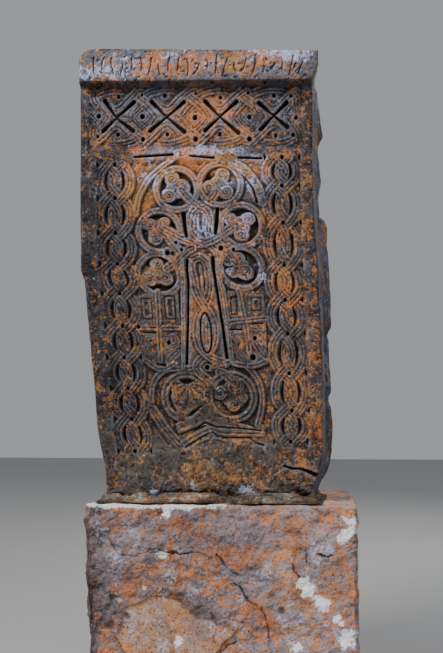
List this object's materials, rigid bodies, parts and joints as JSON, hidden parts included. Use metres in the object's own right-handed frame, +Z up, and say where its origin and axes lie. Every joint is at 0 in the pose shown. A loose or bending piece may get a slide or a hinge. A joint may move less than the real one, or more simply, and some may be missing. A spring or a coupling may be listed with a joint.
{
  "type": "khachkar",
  "caption": "Upright carved cross-stone with knotwork panels, a lattice band and a projecting cornice, bedded in mortar on a separate block pedestal",
  "frame": {"origin": "middle of the pedestal's underside, between its front and back and between its sides at the top", "axes": "+Z up; the carved face looks along -Y; +X runs to the right along the face as it is read"},
  "size_m": [0.914, 0.49, 2.1046],
  "materials": {
    "stele_stone": "matte",
    "mortar": "matte",
    "pedestal_stone": "matte"
  },
  "bodies": {
    "root": {"stele": "stele_stone", "mortar_bed": "mortar", "pedestal": "pedestal_stone"}
  },
  "joints": []
}
